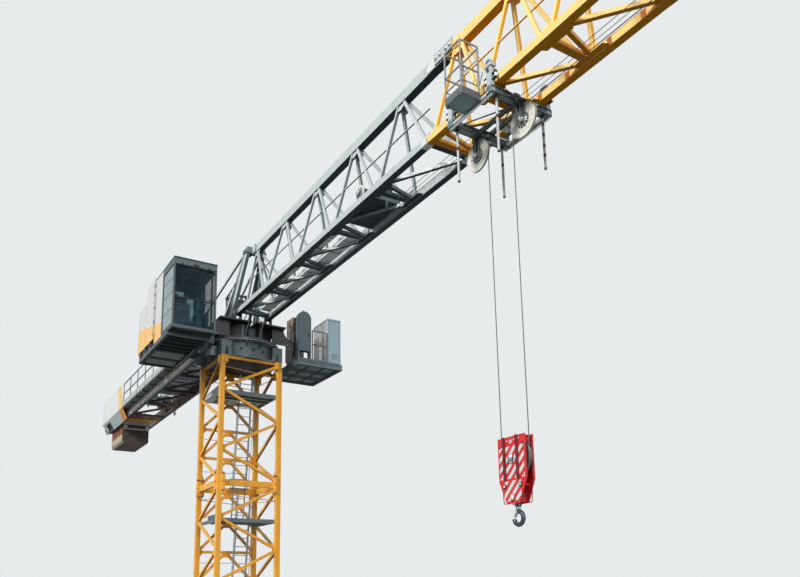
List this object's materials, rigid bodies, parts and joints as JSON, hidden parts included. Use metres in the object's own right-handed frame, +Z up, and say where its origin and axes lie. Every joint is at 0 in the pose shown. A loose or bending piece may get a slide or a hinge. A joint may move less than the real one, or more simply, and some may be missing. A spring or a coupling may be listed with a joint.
{
  "type": "tower crane",
  "caption": "Flat-top tower crane: lattice tower, slewing jib with trolley and hook block, counter-jib with ballast, operator's cab and service platform",
  "frame": {"origin": "on the ground under the tower's axis", "axes": "+X along the jib towards its tip, -Y towards the operator's cab, +Z up"},
  "size_m": [39.662, 6.1, 16.59],
  "materials": {
    "tower_paint": "satin",
    "jib_paint": "satin",
    "grey_paint": "satin",
    "dark_paint": "satin",
    "white_paint": "satin",
    "red_paint": "satin",
    "zinc": "satin",
    "sheave_white": "satin",
    "wire": "satin",
    "ballast": "matte",
    "tinted_glass": "gloss",
    "black_trim": "matte",
    "hook_steel": "satin"
  },
  "bodies": {
    "tower": {"base_frame": "tower_paint", "tower_legs": "tower_paint", "tower_side_left": "tower_paint", "tower_side_right": "tower_paint", "tower_side_front": "tower_paint", "tower_side_back": "tower_paint", "rest_platforms": "grey_paint", "tower_ladders": "zinc", "slewing_support": "dark_paint"},
    "trolley_winch_drum": {"trolley_winch_drum": "white_paint"},
    "hoist_drum": {"hoist_drum": "grey_paint"},
    "trolley": {"trolley_frame": "grey_paint", "trolley_basket": "zinc", "hoist_ropes": "wire"},
    "rear_rope_sheave": {"rear_rope_sheave": "sheave_white"},
    "front_rope_sheave": {"front_rope_sheave": "sheave_white"},
    "hook_block": {"hook_block": "red_paint"},
    "block_sheave": {"block_sheave": "zinc"},
    "hook": {"hook": "hook_steel"},
    "upperworks": {"turntable": "dark_paint", "head_frame": "dark_paint", "jib_inner_chords": "grey_paint", "jib_inner_left_web": "grey_paint", "jib_inner_right_web": "grey_paint", "jib_inner_floor": "grey_paint", "jib_outer_chords": "jib_paint", "jib_outer_left_web": "jib_paint", "jib_outer_right_web": "jib_paint", "jib_outer_floor": "jib_paint", "jib_nose": "jib_paint", "jib_ropes": "wire", "trolley_winch": "grey_paint", "counter_jib_frame": "dark_paint", "counter_jib_walkway": "zinc", "railings": "grey_paint", "tail_cover": "white_paint", "counterweights": "ballast", "hoist_winch": "dark_paint", "cab_platform": "dark_paint", "cab_shell": "white_paint", "cab_glass": "tinted_glass", "operator_seat": "black_trim", "cab_housing": "white_paint", "service_platform": "dark_paint", "service_cabinets": "grey_paint"}
  },
  "joints": [
    {"name": "slew", "type": "hinge", "parent": "tower", "child": "upperworks", "pos_m": [0, 0, 13.31], "axis": [0, 0, 1], "continuous": true},
    {"name": "trolley_travel", "type": "slide", "parent": "upperworks", "child": "trolley", "axis": [1, 0, 0], "range_m": [-10.2, 7.3]},
    {"name": "hoist", "type": "slide", "parent": "trolley", "child": "hook_block", "axis": [0, 0, 1], "range_m": [-6, 5.2], "deforming": ["hoist_ropes"]},
    {"name": "hook_swivel", "type": "hinge", "parent": "hook_block", "child": "hook", "pos_m": [13.44, 0, 6.62], "axis": [0, 0, 1], "continuous": true},
    {"name": "rear_sheave_turn", "type": "hinge", "parent": "trolley", "child": "rear_rope_sheave", "pos_m": [12.79, 0, 13.56], "axis": [0, 1, 0], "continuous": true},
    {"name": "front_sheave_turn", "type": "hinge", "parent": "trolley", "child": "front_rope_sheave", "pos_m": [14.09, 0, 13.56], "axis": [0, 1, 0], "continuous": true},
    {"name": "block_sheave_turn", "type": "hinge", "parent": "hook_block", "child": "block_sheave", "pos_m": [13.44, 0, 7.42], "axis": [0, 1, 0], "continuous": true},
    {"name": "hoist_drum_turn", "type": "hinge", "parent": "upperworks", "child": "hoist_drum", "pos_m": [-11.2, 0, 14.11], "axis": [0, 1, 0], "range_deg": [-2760, 2400]},
    {"name": "trolley_drum_turn", "type": "hinge", "parent": "upperworks", "child": "trolley_winch_drum", "pos_m": [8.75, 0, 14.67], "axis": [0, 1, 0], "range_deg": [-3900, 2800]}
  ],
  "couplings": [
    {"joint": "hoist_drum_turn", "follows": "hoist", "rad_per_m": 8},
    {"joint": "trolley_drum_turn", "follows": "trolley_travel", "rad_per_m": 6.6667}
  ]
}
